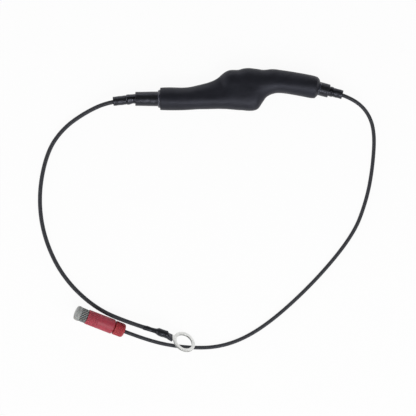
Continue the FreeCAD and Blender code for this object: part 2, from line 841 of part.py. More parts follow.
def tap_lead():
    axis = (tap_origin, tap_heading, tap_pitch)
    points = [
        on_line(signal_root, signal_stub_heading, 0.0, signal_lead_start),
        on_line(signal_root, signal_stub_heading, 0.0, signal_lead_start + first_run_signal),
    ]
    points += [vec(*p) for p in tap_route_middle]
    points.append(on_line(*axis, lead_stop_x + tap_last_run))
    points.append(on_line(*axis, lead_stop_x))
    save("tap_lead", cord("tap_lead", points, tap_lead_diameter))
    strand = strand_diameter / 2
    module_strand = rod(strand, signal_lead_start - strand_reach, signal_lead_start)
    tap_strand = rod(strand, contact_end_x + lead_start_gap, lead_stop_x)
    both = Part.makeCompound([signal_stub(module_strand), tap(tap_strand)])
    save("tap_lead_strands", both)


os.makedirs("parts", exist_ok=True)
save("module_jacket", module_jacket())
ground_end()
signal_end()
capacitor()
resistor()
link()
ring_terminal()
ring_barrel_sleeve()
tap_cap()
tap_body()
tap_contact()
tap_end_cap()
ground_lead()
tap_lead()
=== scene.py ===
"""In-line tap lead with a ring terminal: its looks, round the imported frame."""

import json
import math

import bmesh
import bpy
from mathutils import Matrix, Vector


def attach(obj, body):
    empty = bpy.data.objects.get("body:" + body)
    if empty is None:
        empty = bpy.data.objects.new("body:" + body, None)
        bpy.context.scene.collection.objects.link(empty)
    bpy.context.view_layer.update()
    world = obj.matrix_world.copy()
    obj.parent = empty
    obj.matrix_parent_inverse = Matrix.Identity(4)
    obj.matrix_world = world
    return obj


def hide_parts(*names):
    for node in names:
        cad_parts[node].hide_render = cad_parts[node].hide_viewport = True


bl_info = {
    "name": "In-line tap lead",
    "version": (1, 0, 0),
    "blender": (4, 5, 0),
    "location": "3D View > Sidebar > Tap lead",
    "description": "Builds a heat-shrunk in-line test lead with a wire tap and a ring terminal",
    "category": "Add Mesh",
}

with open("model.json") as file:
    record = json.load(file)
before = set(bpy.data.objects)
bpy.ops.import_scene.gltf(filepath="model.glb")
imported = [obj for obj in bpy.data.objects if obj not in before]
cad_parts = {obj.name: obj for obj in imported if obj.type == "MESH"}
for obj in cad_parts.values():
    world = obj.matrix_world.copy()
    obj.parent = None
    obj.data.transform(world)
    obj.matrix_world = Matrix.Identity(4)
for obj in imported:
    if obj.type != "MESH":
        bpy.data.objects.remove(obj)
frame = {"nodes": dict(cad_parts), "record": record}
MM = 0.001


# Places along the object, in millimetres


def heading_vector(heading, pitch=0.0):
    """Unit vector at a heading from +X and a pitch above the floor, in degrees."""
    flat = math.cos(math.radians(pitch))
    turn = math.radians(heading)
    return Vector((flat * math.cos(turn), flat * math.sin(turn), math.sin(math.radians(pitch))))


def seat(origin, heading, pitch=0.0, roll=0.0):
    """Matrix that puts a shape made along +X, in millimetres, at a place on the lead."""
    turn = Matrix.Rotation(math.radians(heading), 4, "Z")
    tip = Matrix.Rotation(math.radians(-pitch), 4, "Y")
    spin = Matrix.Rotation(math.radians(roll), 4, "X")
    return Matrix.Scale(MM, 4) @ Matrix.Translation(origin) @ turn @ tip @ spin


CAPACITOR_Y = -4.7
TUBE_Z = 5.55
GROUND_PIVOT = Vector((-46.3, CAPACITOR_Y, TUBE_Z))
GROUND_HEADING = 186.5
SIGNAL_ROOT = Vector((46.003, 0.348, 5.6))
SIGNAL_HEADING = -15.0
TAP_ORIGIN = Vector((-76.2, -111.2, 8.306))
TAP_HEADING = -21.8
TAP_PITCH = -11.0
RING_CENTRE = Vector((-21.94, -126.22, 4.558))
TONGUE_HEADING = -21.1
TONGUE_PITCH = -14.1
TONGUE_ROLL = -44.56
TONGUE_LENGTH = 8.9
BARREL_HEADING = -16.5
BARREL_PITCH = 0.0
BARREL_LENGTH = 4.8
BARREL_OFFSET = 0.9

# The leads' routes, the same points as the frame's tubes follow
GROUND_ROUTE = [
    (-50.77, -5.21, 5.55),
    (-59.71, -6.23, 5.55),
    (-71.0, -11.1, 2.3),
    (-82.8, -19.4, 1.05),
    (-90.8, -31.3, 1.05),
    (-95.0, -52.3, 1.05),
    (-92.6, -73.3, 1.05),
    (-83.02, -93.78, 1.05),
    (-66.84, -109.42, 1.1),
    (-48.7, -116.93, 7.35),
    (-34.32, -121.19, 7.35),
]
TAP_ROUTE = [
    (51.9, -1.23, 5.6),
    (60.11, -3.43, 5.6),
    (69.3, -9.8, 2.4),
    (73.7, -20.6, 0.95),
    (72.5, -39.5, 0.95),
    (69.4, -55.6, 0.95),
    (62.8, -73.0, 0.95),
    (42.6, -97.3, 0.95),
    (17.6, -119.7, 0.95),
    (-2.2, -129.1, 0.95),
    (-22.5, -129.4, 0.95),
    (-41.78, -125.38, 1.08),
    (-57.36, -118.74, 4.36),
]

# Height of the jacket's middle, and the most that it may reach above and below it
JACKET_MIDDLE_Z = 5.6
JACKET_ABOVE = 5.72
JACKET_BELOW = 5.58
# The jacket's outline seen from above: x, low y, high y, heading of the section
JACKET_OUTLINE = [
    (-33.9, -10.25, 0.89, 0.0),
    (-32.8, -10.35, 0.99, 0.0),
    (-28.8, -10.45, 1.09, 0.0),
    (-22.8, -10.4, 0.94, 0.0),
    (-18.8, -10.2, 1.29, 0.0),
    (-14.8, -9.95, 2.19, 0.0),
    (-10.8, -9.9, 3.19, 0.0),
    (-8.8, -9.85, 3.84, 0.0),
    (-6.8, -9.8, 4.69, 0.0),
    (-4.8, -9.75, 5.94, 0.0),
    (-2.8, -9.8, 7.74, 0.0),
    (-0.8, -9.85, 9.09, 0.0),
    (1.2, -10.0, 9.74, 0.0),
    (5.2, -10.35, 9.84, 0.0),
    (7.2, -10.45, 10.39, 0.0),
    (9.2, -10.65, 10.69, 0.0),
    (11.2, -10.72, 10.69, 0.0),
    (13.2, -10.5, 10.44, 0.0),
    (15.2, -9.55, 10.19, 0.0),
    (17.2, -6.85, 9.84, -1.0),
    (19.2, -4.15, 9.94, -2.0),
    (21.2, -2.85, 10.19, -3.0),
    (23.2, -2.2, 10.14, -4.5),
    (25.2, -1.85, 9.84, -6.0),
    (29.2, -2.1, 9.29, -7.0),
    (35.2, -3.1, 8.29, -8.0),
    (39.2, -3.85, 7.55, -8.5),
    (42.0, -4.4, 6.95, -9.0),
    (44.0, -4.5, 6.28, -9.0),
]
# Rings that close the skin at its start and its end: how far drawn in, and how far along x
JACKET_MOUTH = [(0.95, 2.0), (0.95, 0.2), (0.7, 0.02), (0.2, 0.0), (0.06, 0.03), (0.0, 0.14)]
JACKET_SHOULDER = [
    (0.18, 0.15),
    (0.6, 0.6),
    (1.15, 1.05),
    (1.75, 1.4),
    (2.2, 1.55),
    (2.4, 1.45),
    (2.6, -0.5),
]
# The two parts under it: start, heading, length, radius, rounding of the ends
LOWER_PART = (Vector((-60.0, CAPACITOR_Y, TUBE_Z)), 0.0, 76.5, 5.45, 4.5)
UPPER_PART = (Vector((-3.0, 5.2, 5.6)), -4.33, 52.0, 5.45, 5.0)
# How far from its middle the skin is looked for, and how often that length is halved
FAR_OUTSIDE = 16.0
HALVINGS = 18


# Colours and materials


def linear(code):
    """An sRGB hex colour as linear RGBA."""
    made = []
    for i in (1, 3, 5):
        c = int(code[i : i + 2], 16) / 255
        made.append(c / 12.92 if c <= 0.04045 else ((c + 0.055) / 1.055) ** 2.4)
    return (*made, 1.0)


def add_node(owner, kind, inputs=None, **settings):
    """Adds a node to a material or world, with its settings, values and links, and returns it."""
    made = owner.node_tree.nodes.new(kind)
    for key, value in settings.items():
        setattr(made, key, value)
    for key, value in (inputs or {}).items():
        if isinstance(value, bpy.types.NodeSocket):
            owner.node_tree.links.new(value, made.inputs[key])
        else:
            made.inputs[key].default_value = value
    return made


def larger(owner, first, second):
    """The larger of two values."""
    return add_node(owner, "ShaderNodeMath", {0: first, 1: second}, operation="MAXIMUM").outputs[0]


def new_material(name):
    """An empty node material with its shader and its coordinates in the row frame."""
    material = bpy.data.materials.new(name)
    material.use_nodes = True
    material.node_tree.nodes.clear()
    shader = add_node(material, "ShaderNodeBsdfPrincipled")
    add_node(material, "ShaderNodeOutputMaterial", {"Surface": shader.outputs["BSDF"]})
    place = add_node(material, "ShaderNodeTexCoord").outputs["Object"]
    return material, shader, place


def grain(material, place, size_mm, detail=3.0):
    """Noise whose features are about size_mm across."""
    inputs = {"Vector": place, "Scale": 1 / (size_mm * MM), "Detail": detail}
    return add_node(material, "ShaderNodeTexNoise", inputs).outputs["Fac"]


def colour_between(material, factor, low, high, start=0.3, end=0.7):
    """Colours from low to high as factor goes from start to end."""
    ramp = add_node(material, "ShaderNodeValToRGB", {"Fac": factor})
    ramp.color_ramp.elements[0].position = start
    ramp.color_ramp.elements[0].color = linear(low)
    ramp.color_ramp.elements[1].position = end
    ramp.color_ramp.elements[1].color = linear(high)
    return ramp.outputs["Color"]


def value_between(material, factor, low, high):
    """A number from low to high as factor goes from 0.3 to 0.7."""
    inputs = {"Value": factor, "From Min": 0.3, "From Max": 0.7, "To Min": low, "To Max": high}
    return add_node(material, "ShaderNodeMapRange", inputs).outputs["Result"]


def bump(material, shader, height, depth_mm):
    """Raises the surface by height, up to depth_mm."""
    inputs = {"Height": height, "Distance": depth_mm * MM, "Strength": 1.0}
    if shader.inputs["Normal"].is_linked:
        inputs["Normal"] = shader.inputs["Normal"].links[0].from_socket
    normal = add_node(material, "ShaderNodeBump", inputs).outputs["Normal"]
    material.node_tree.links.new(normal, shader.inputs["Normal"])


def set_shader(shader, **values):
    """Gives the shader's sockets their values and links, by their names with _ for a space."""
    for key, value in values.items():
        socket = shader.inputs[key.replace("_", " ")]
        if isinstance(value, bpy.types.NodeSocket):
            shader.id_data.links.new(value, socket)
        else:
            socket.default_value = value


# Black plastics reflect daylight a little bluish
COOL_GLOSS = (0.8, 0.82, 1.0, 1.0)


def shrunk_polyolefin(name, low, high, rough_low, rough_high, wave_mm=4.0, gloss=0.34):
    """Heat-shrunk polyolefin: near-black, satin, with soft waves and a faint orange-peel skin."""
    material, shader, place = new_material(name)
    skin = grain(material, place, size_mm=0.35)
    cloud = grain(material, place, size_mm=7.0, detail=2.0)
    colour = colour_between(material, cloud, low, high)
    rough = value_between(material, skin, rough_low, rough_high)
    set_shader(shader, Base_Color=colour, Roughness=rough, IOR=1.5)
    set_shader(shader, Specular_IOR_Level=gloss, Specular_Tint=COOL_GLOSS)
    bump(material, shader, grain(material, place, wave_mm, detail=1.0), depth_mm=0.2)
    bump(material, shader, skin, depth_mm=0.02)
    return material


def extruded_vinyl(name):
    """Extruded PVC insulation: black and matt, its fine die lines drawn as faint mottling."""
    material, shader, place = new_material(name)
    mottle = grain(material, place, size_mm=1.2)
    colour = colour_between(material, mottle, "#393a3d", "#3f4043")
    rough = value_between(material, mottle, 0.45, 0.52)
    set_shader(shader, Base_Color=colour, Roughness=rough, IOR=1.53)
    set_shader(shader, Specular_IOR_Level=0.2, Specular_Tint=COOL_GLOSS)
    bump(material, shader, mottle, depth_mm=0.005)
    return material


def hot_melt(name):
    """Hot-melt adhesive: cloudy grey with a bluish cast, smooth and wet-looking."""
    material, shader, place = new_material(name)
    cloud = grain(material, place, size_mm=1.5)
    colour = colour_between(material, cloud, "#262731", "#464959")
    set_shader(shader, Base_Color=colour, Roughness=0.22, IOR=1.48)
    set_shader(shader, Transmission_Weight=0.15, Coat_Weight=0.25)
    bump(material, shader, cloud, depth_mm=0.05)
    return material


def moulded_nylon(name, low, high, rough_low, rough_high):
    """Injection-moulded nylon: coloured through, satin, with a spark-eroded grain."""
    material, shader, place = new_material(name)
    pits = grain(material, place, size_mm=0.5, detail=4.0)
    colour = colour_between(material, pits, low, high, start=0.38, end=0.62)
    rough = value_between(material, pits, rough_low, rough_high)
    set_shader(shader, Base_Color=colour, Roughness=rough, IOR=1.53, Specular_IOR_Level=0.35)
    set_shader(shader, Subsurface_Weight=0.05, Subsurface_Scale=0.5 * MM)
    bump(material, shader, pits, depth_mm=0.012)
    return material


def plated_metal(name, low, high, rough_low, rough_high, mark_mm=0.8):
    """Plated or tinned metal: bright, with soft marks from tumbling and forming."""
    material, shader, place = new_material(name)
    marks = grain(material, place, mark_mm)
    colour = colour_between(material, marks, low, high)
    rough = value_between(material, marks, rough_low, rough_high)
    set_shader(shader, Base_Color=colour, Roughness=rough, Metallic=1.0)
    bump(material, shader, marks, depth_mm=0.004)
    return material


def plain_solid(name, low, high, rough, grain_mm):
    """A matt solid of mixed grain: wound film, cast resin, fired ceramic or cement."""
    material, shader, place = new_material(name)
    specks = grain(material, place, grain_mm)
    colour = colour_between(material, specks, low, high)
    set_shader(shader, Base_Color=colour, Roughness=rough, IOR=1.5)
    bump(material, shader, specks, depth_mm=0.03)
    return material


MATERIALS = {}


def material_set():
    """Each material once, by its slot in the record, or by the finish or painted shade that it adds
    to one.
    """
    if MATERIALS:
        return MATERIALS
    look = bpy.context.scene.taplead_colours
    MATERIALS.update(
        {
            "shrink_jacket": shrunk_polyolefin(
                "shrunk polyolefin jacket", "#1a1b20", "#212228", 0.42, 0.5
            ),
            "shrink_sleeve": shrunk_polyolefin(
                "shrunk polyolefin sleeve",
                "#141516",
                "#1b1c1d",
                0.28,
                0.38,
                wave_mm=2.0,
                gloss=0.52,
            ),
            "crimp_nylon": shrunk_polyolefin(
                "shrunk glossy crimp cover",
                "#0c0d0e",
                "#131415",
                0.1,
                0.16,
                wave_mm=1.5,
                gloss=0.55,
            ),
            "hot_melt": hot_melt("hot-melt adhesive"),
            "lead_insulation": extruded_vinyl("extruded PVC insulation"),
            "red_nylon": moulded_nylon("moulded red nylon", look.red_dark, look.red, 0.36, 0.55),
            "grey_nylon": moulded_nylon("moulded grey nylon", look.grey_dark, look.grey, 0.38, 0.5),
            # Darker grey for the faces between the cap's ribs: painted shade
            "rib_shade": moulded_nylon(
                "moulded grey nylon, painted shade between the ribs", "#4c4f50", "#585b5c", 0.5, 0.6
            ),
            "red_cap": moulded_nylon(
                "moulded red nylon, purer colour", "#9f2b34", "#b23a43", 0.36, 0.55
            ),
            # Darker, deeper red for the faces in the tap body's groove: painted shade
            "red_groove_shade": moulded_nylon("moulded red nylon, painted groove shade", "#9c1218", "#aa161d", 0.36, 0.5),
            "tinned_ring": plated_metal(
                "bright tinned copper ring", "#e0e1df", "#f5f5f3", 0.28, 0.34, mark_mm=3.0
            ),
            "punched_edge": plated_metal(
                "punched copper edge, thinly tinned", "#959694", "#a9aaa8", 0.42, 0.5
            ),
            "tinned_copper": plated_metal("tinned copper wire", "#b9bab8", "#dcdcd8", 0.25, 0.4),
            "bare_copper": plated_metal("drawn copper strand", "#b8714a", "#d98e62", 0.25, 0.4),
            "plated_brass": plated_metal("plated brass contact", "#c9bd93", "#e0d6b0", 0.2, 0.35),
            "steel_cap": plated_metal("pressed tinned steel", "#9a9b9a", "#bdbdbb", 0.3, 0.45),
            "film_winding": plain_solid("wound polyester film", "#b58a2e", "#d2a94a", 0.4, 0.6),
            "epoxy_seal": plain_solid("cast epoxy", "#8f6a26", "#a67f38", 0.3, 0.8),
            "film_sleeve": plain_solid("polyester tape", "#c7952a", "#dbb045", 0.3, 1.5),
            "alumina_core": plain_solid("fired alumina", "#dcdad2", "#ebe9e3", 0.7, 0.3),
            "resistor_coating": plain_solid("silicone cement", "#4a6b4f", "#5b7d5f", 0.8, 0.25),
        }
    )
    return MATERIALS


# Mesh helpers

# Points of a skin that lie closer than this are joined
WELD = 0.003 * MM
# How far outside its bore a turned piece takes its shape in full, in millimetres
FULL_SHAPE = 0.8


def mesh_object(name, rings, closed_ends, matrix, slot_name):
    """A skin through rings of points, each ring a closed loop, with its finish."""
    work = bmesh.new()
    rows = [[work.verts.new(matrix @ Vector(p)) for p in ring] for ring in rings]
    for near, far in zip(rows, rows[1:]):
        for i in range(len(near)):
            j = (i + 1) % len(near)
            work.faces.new((near[i], near[j], far[j], far[i]))
    if closed_ends:
        work.faces.new(list(reversed(rows[0])))
        work.faces.new(rows[-1])
    # Joins the first and last rings where they meet, and closes rings that end on the axis
    bmesh.ops.remove_doubles(work, verts=work.verts, dist=WELD)
    bmesh.ops.recalc_face_normals(work, faces=work.faces)
    if work.calc_volume(signed=True) < 0:
        bmesh.ops.reverse_faces(work, faces=work.faces)
    data = bpy.data.meshes.new(name)
    work.to_mesh(data)
    work.free()
    data.shade_smooth()
    made = bpy.data.objects.new(name, data)
    bpy.context.collection.objects.link(made)
    made.data.materials.append(material_set()[slot_name])
    return made


def turned(name, outline, matrix, slot_name, shape=None, segments=72, bore=None):
    """Solid of revolution about X through points (x, radius).

    shape(x, angle) adds to the radius. It fades out towards the bore where that is given.
    """
    rings = []
    for x, radius in outline:
        ring = []
        share = 1.0 if bore is None else min(1.0, max(0.0, (radius - bore) / FULL_SHAPE))
        for i in range(segments):
            angle = 2 * math.pi * i / segments
            reach = radius + (share * shape(x, angle) if shape else 0.0)
            ring.append((x, reach * math.cos(angle), reach * math.sin(angle)))
        rings.append(ring)
    return mesh_object(name, rings, False, matrix, slot_name)


def rounded(outline, radius, steps=4):
    """The outline with the corners between its ends rounded, each by about that radius."""
    points = [outline[0]]
    for before, corner, after in zip(outline, outline[1:], outline[2:]):
        corner_v = Vector(corner)
        back = Vector(before) - corner_v
        ahead = Vector(after) - corner_v
        # Under half of either side, so that two arcs on one side never meet
        reach = min(radius, 0.48 * back.length, 0.48 * ahead.length)
        start = corner_v + back.normalized() * reach
        end = corner_v + ahead.normalized() * reach
        for i in range(steps + 1):
            t = i / steps
            points.append(tuple(start * (1 - t) ** 2 + corner_v * 2 * t * (1 - t) + end * t**2))
    points.append(outline[-1])
    return points


def lengthened(outline, step):
    """The outline with points added so that no stretch is longer than step."""
    points = [outline[0]]
    for near, far in zip(outline, outline[1:]):
        parts = max(1, math.ceil(math.hypot(far[0] - near[0], far[1] - near[1]) / step))
        for i in range(1, parts + 1):
            t = i / parts
            points.append((near[0] + (far[0] - near[0]) * t, near[1] + (far[1] - near[1]) * t))
    return points


def paint_nodes(names):
    """Gives CAD nodes that stay in view the finish of their slot."""
    slots = {part["node"]: part["material_slot"] for part in frame["record"]["subparts"]}
    for name in names:
        data = frame["nodes"][name].data
        data.materials.clear()
        data.materials.append(material_set()[slots[name]])


# The jacket's form


def smooth_rows(rows, x):
    """Value of each column at x, on a smooth curve through the rows."""
    i = max(0, min(len(rows) - 2, sum(1 for row in rows[1:-1] if row[0] <= x)))
    a, b, c, d = rows[max(i - 1, 0)], rows[i], rows[i + 1], rows[min(i + 2, len(rows) - 1)]
    span = c[0] - b[0]
    t = (x - b[0]) / span
    values = []
    for k in range(1, len(b)):
        slope_b = (c[k] - a[k]) / (c[0] - a[0])
        slope_c = (d[k] - b[k]) / (d[0] - b[0])
        h = (2 * t**3 - 3 * t**2 + 1) * b[k] + (t**3 - 2 * t**2 + t) * slope_b * span
        values.append(h + (-2 * t**3 + 3 * t**2) * c[k] + (t**3 - t**2) * slope_c * span)
    return values


def rod_distance(point, start, heading, length, radius, corner):
    """Distance of a point outside a rod with rounded corners, negative inside it."""
    along = heading_vector(heading)
    offset = point - start
    x = offset.dot(along)
    across = (offset - along * x).length
    dx = max(-x, x - length) + corner
    dr = across - radius + corner
    outside = math.hypot(max(dx, 0.0), max(dr, 0.0))
    return outside + min(max(dx, dr), 0.0) - corner


def under_jacket(point, web):
    """Distance outside the two parts under the shrunk skin, which spans the valley between them."""
    lower = rod_distance(point, *LOWER_PART)
    upper = rod_distance(point, *UPPER_PART)
    blend = max(web - abs(lower - upper), 0.0) / web
    return min(lower, upper) - blend * blend * web / 4


def jacket_ring(x, y_low, y_high, heading, web, count):
    """Section of the skin at x, stretched to the outline seen from above."""
    middle = Vector((x, (y_low + y_high) / 2, JACKET_MIDDLE_Z))
    across = heading_vector(heading + 90)
    points = []
    for i in range(count):
        angle = 2 * math.pi * i / count
        ray = across * math.cos(angle) + Vector((0, 0, math.sin(angle)))
        near, far = 0.0, FAR_OUTSIDE
        for _ in range(HALVINGS):
            reach = (near + far) / 2
            if under_jacket(middle + ray * reach, web) < 0:
                near = reach
            else:
                far = reach
        points.append((near * math.cos(angle), near * math.sin(angle)))
    half = (y_high - y_low) / 2
    right = half / max(u for u, v in points)
    left = half / -min(u for u, v in points)
    above = min(1.0, JACKET_ABOVE / max(v for u, v in points))
    below = min(1.0, JACKET_BELOW / -min(v for u, v in points))
    ring = [(u * (right if u > 0 else left), v * (above if v > 0 else below)) for u, v in points]
    return [middle + across * u + Vector((0, 0, v)) for u, v in ring]


def drawn_in(ring, by, shift):
    """The ring made smaller all round by a length, and moved along x."""
    middle = sum(ring, Vector()) / len(ring)
    made = []
    for point in ring:
        arm = point - middle
        made.append(middle + arm * (1 - by / arm.length) + Vector((shift, 0, 0)))
    return made


# Pieces


class TAPLEAD_PG_sizes(bpy.types.PropertyGroup):
    """Sizes that a user may change."""

    ground_lead: bpy.props.FloatProperty(
        name="Ground lead",
        description="Diameter of the lead to the ring",
        default=2.1 * MM,
        unit="LENGTH",
    )
    tap_lead: bpy.props.FloatProperty(
        name="Tap lead",
        description="Diameter of the lead to the tap",
        default=1.9 * MM,
        unit="LENGTH",
    )
    web: bpy.props.FloatProperty(
        name="Web",
        description="How far the jacket's skin spans the valley",
        default=8.0 * MM,
        unit="LENGTH",
    )
    jacket_step: bpy.props.FloatProperty(
        name="Jacket step",
        description="Distance between the jacket's sections",
        default=0.7 * MM,
        unit="LENGTH",
    )


class TAPLEAD_PG_colours(bpy.types.PropertyGroup):
    """Colours that a user may change, as sRGB hex."""

    red: bpy.props.StringProperty(
        name="Red", description="Moulded body, lighter", default="#b44353"
    )
    red_dark: bpy.props.StringProperty(
        name="Red, dark", description="Moulded body, darker", default="#a13745"
    )
    grey: bpy.props.StringProperty(
        name="Grey", description="Moulded cap, lighter", default="#a6a8a5"
    )
    grey_dark: bpy.props.StringProperty(
        name="Grey, dark", description="Moulded cap, darker", default="#969999"
    )


class TAPLEAD_OT_jacket(bpy.types.Operator):
    """Heat-shrunk jacket over the two parts, with its adhesive at both ends"""

    bl_idname = "taplead.jacket"
    bl_label = "Module jacket"

    def execute(self, context):
        sizes = context.scene.taplead_sizes
        web = sizes.web / MM
        step = sizes.jacket_step / MM
        first, last = JACKET_OUTLINE[0][0], JACKET_OUTLINE[-1][0]
        count = round((last - first) / step)
        rings = []
        for i in range(count + 1):
            x = first + (last - first) * i / count
            y_low, y_high, heading = smooth_rows(JACKET_OUTLINE, x)
            rings.append(jacket_ring(x, y_low, y_high, heading, web, count=96))
        mouth = [drawn_in(rings[0], by, shift) for by, shift in JACKET_MOUTH]
        shoulder = [drawn_in(rings[-1], by, shift) for by, shift in JACKET_SHOULDER]
        rings = mouth + rings[1:] + shoulder
        jacket = mesh_object("jacket", rings, False, Matrix.Scale(MM, 4), "shrink_jacket")
        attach(jacket, "lead_set")
        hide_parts("module_jacket")
        self.add_glue()
        return {"FINISHED"}

    def add_glue(self):
        """A ring of adhesive at the left end, and a thin line with two drops at the right."""
        sleeve, bead = 3.72, 4.62
        outline = [(-31.6, sleeve), (-35.1, sleeve), (-35.05, 4.0), (-34.8, 4.4)]
        outline += [(-34.3, bead), (-31.6, bead)]
        place = seat(Vector((0, CAPACITOR_Y, TUBE_Z)), 0.0)
        glue = turned("glue_ring", rounded(outline, 0.2), place, "hot_melt")
        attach(glue, "lead_set")
        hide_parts("jacket_glue_ground_end")
        outline = [(-1.2, 3.41), (-1.2, 3.45), (-0.2, 3.45), (0.1, 3.41)]
        points = lengthened(rounded(outline, 0.05), 0.2)
        place = seat(SIGNAL_ROOT, SIGNAL_HEADING)
        line = turned("glue_line", points, place, "hot_melt", self.squeezed)
        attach(line, "lead_set")
        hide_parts("jacket_glue_signal_end")

    def squeezed(self, x, angle):
        """Shape of two drops of adhesive pressed out under the jacket's edge."""
        height, middle, half_length = 0.3, -0.45, 0.6
        drops = 0.0
        for at, width in ((0.95, 0.28), (1.85, 0.16)):
            drops += math.exp(-(((angle - at) / width) ** 2))
        return height * drops * max(0.0, 1 - ((x - middle) / half_length) ** 2)


def cord_curve(name, route, diameter):
    """Round lead on one smooth curve through its route."""
    data = bpy.data.curves.new(name, "CURVE")
    data.dimensions = "3D"
    data.bevel_depth = diameter / 2
    data.bevel_resolution = 8
    data.resolution_u = 16
    data.use_fill_caps = True
    spline = data.splines.new("NURBS")
    spline.points.add(len(route) - 1)
    for point, place in zip(spline.points, route):
        point.co = tuple(c * MM for c in place) + (1.0,)
    spline.order_u = 3
    spline.use_endpoint_u = True
    made = bpy.data.objects.new(name, data)
    bpy.context.collection.objects.link(made)
    data.materials.append(material_set()["lead_insulation"])
    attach(made, "lead_set")
    return made


class TAPLEAD_OT_leads(bpy.types.Operator):
    """The two flexible leads, in the curves that they lie in"""

    bl_idname = "taplead.leads"
    bl_label = "Leads"

    def execute(self, context):
        sizes = context.scene.taplead_sizes
        ground = cord_curve("ground_lead_insulation", GROUND_ROUTE, sizes.ground_lead)
        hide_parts("ground_lead")
        tap = cord_curve("tap_lead_insulation", TAP_ROUTE, sizes.tap_lead)
        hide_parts("tap_lead")
        return {"FINISHED"}


def dent(at, angle_at, depth, width):
    """Shape of a crimping tool's bite on one side of a round sleeve."""

    def bite(x, angle):
        side = max(0.0, math.cos(angle - angle_at))
        return -depth * side**1.5 * math.exp(-(((x - at) / width) ** 2))

    return bite


def waves(height, pitch, lobes, phase):
    """Shape of a skin that shrank a little unevenly."""

    def rise(x, angle):
        return height * math.sin(2 * math.pi * x / pitch + phase) * math.cos(lobes * angle + phase)

    return rise


def both(first, second):
    """Two shapes on one piece."""
    return lambda x, angle: first(x, angle) + second(x, angle)


class TAPLEAD_OT_sleeves(bpy.types.Operator):
    """Shrunk sleeves and crimp covers at both ends of the module"""

    bl_idname = "taplead.sleeves"
    bl_label = "Sleeves and crimps"

    def execute(self, context):
        straight = seat(GROUND_PIVOT, 180.0)
        ground = seat(GROUND_PIVOT, GROUND_HEADING)
        signal = seat(SIGNAL_ROOT, SIGNAL_HEADING)
        skin = waves(height=0.02, pitch=9.0, lobes=2, phase=0.7)
        outline = [(-14.9, 2.6), (-14.9, 3.7), (-11.3, 3.7), (0.0, 3.5)]
        outline += [(0.0, 2.6), (-1.5, 2.56), (-14.9, 2.6)]
        self.add(
            "ground_sleeve", outline, straight, "shrink_sleeve", skin, "ground_outer_sleeve", 0.15
        )
        outline = [(-3.2, 2.6), (-3.2, 3.4), (4.6, 3.36), (4.6, 2.6), (3.0, 2.56), (-3.2, 2.6)]
        self.add(
            "signal_sleeve", outline, signal, "shrink_sleeve", skin, "signal_outer_sleeve", 0.3
        )
        ground_bites = both(
            dent(at=1.4, angle_at=0.3, depth=0.3, width=1.1),
            dent(at=3.5, angle_at=2.2, depth=-0.2, width=1.6),
        )
        signal_bites = both(
            dent(at=5.7, angle_at=1.9, depth=0.45, width=0.45),
            dent(at=6.3, angle_at=-1.2, depth=0.3, width=0.3),
        )
        bore, radius = 1.65, 2.5
        for name, place, start, end, bites in (
            ("ground_crimp", ground, -0.55, 4.75, ground_bites),
            ("signal_crimp", signal, 0.5, 7.05, signal_bites),
        ):
            outline = [(start, bore), (start, radius), (end - 2.0, radius), (end - 1.2, 2.6)]
            outline += [(end - 0.5, radius), (end, 2.2), (end, bore), (start, bore)]
            self.add(name, outline, place, "crimp_nylon", bites, name + "_insulation", 0.25)
        skin = waves(height=0.03, pitch=3.1, lobes=3, phase=0.2)
        for name, place, start, end, bore, radius in (
            ("ground_wire_sleeve", ground, 4.78, 11.18, 1.15, 2.33),
            ("signal_wire_sleeve", signal, 7.08, 11.58, 1.05, 2.28),
        ):
            outline = [(start, bore), (start, radius), (end - 0.2, radius - 0.05)]
            outline += [(end, radius - 0.15), (end, bore), (start, bore)]
            self.add(name + "_skin", outline, place, "shrink_sleeve", skin, name, 0.15)
        paint_nodes(["ground_crimp_barrel", "signal_crimp_barrel"])
        return {"FINISHED"}

    def add(self, name, outline, place, slot_name, shape, node, edge):
        """Adds a turned piece whose corners are rounded by edge, in place of a node."""
        made = turned(name, lengthened(rounded(outline, edge), 0.25), place, slot_name, shape)
        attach(made, "lead_set")
        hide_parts(node)


def oval_rings(sections, count=48):
    """Rings of ovals from (x, y, z, half width, half height, squareness)."""
    rings = []
    for x, y, z, half_width, half_height, square in sections:
        ring = []
        for i in range(count):
            angle = 2 * math.pi * i / count
            u, v = math.cos(angle), math.sin(angle)
            u = math.copysign(abs(u) ** square, u)
            v = math.copysign(abs(v) ** square, v)
            ring.append((x, y + half_width * u, z + half_height * v))
        rings.append(ring)
    return rings


def smooth_sections(sections, step):
    """Sections along x on a smooth curve through the given ones."""
    first, last = sections[0][0], sections[-1][0]
    count = round(abs(last - first) / step)
    made = []
    for i in range(count + 1):
        x = first + (last - first) * i / count
        made.append((x, *smooth_rows(sections, x)))
    return made


# Sleeve over the ring's barrel: x, sideways shift, lift, half width, half height, squareness
BARREL_SKIN = [
    (-13.2, 0.0, 0.0, 1.18, 1.18, 1.0),
    (-12.4, 0.0, 0.0, 1.2, 1.2, 1.0),
    (-11.2, 0.05, 0.05, 1.25, 1.25, 1.0),
    (-9.4, 0.0, 0.0, 1.18, 1.18, 1.0),
    (-8.1, 0.0, 0.0, 1.2, 1.2, 1.0),
    (-6.6, 0.03, 0.03, 1.34, 1.34, 1.0),
    (-5.5, 0.08, 0.08, 1.8, 1.8, 0.97),
    (-5.0, 0.03, 0.03, 1.88, 1.86, 0.95),
    (-3.5, -0.08, -0.08, 1.9, 1.88, 0.95),
    (-2.5, -0.07, -0.07, 1.85, 1.85, 0.95),
    (-1.5, -0.07, -0.07, 1.85, 1.85, 0.95),
    (-0.9, -0.1, -0.1, 1.92, 1.9, 0.93),
    (-0.75, -0.12, -0.1, 1.85, 1.84, 0.93),
]
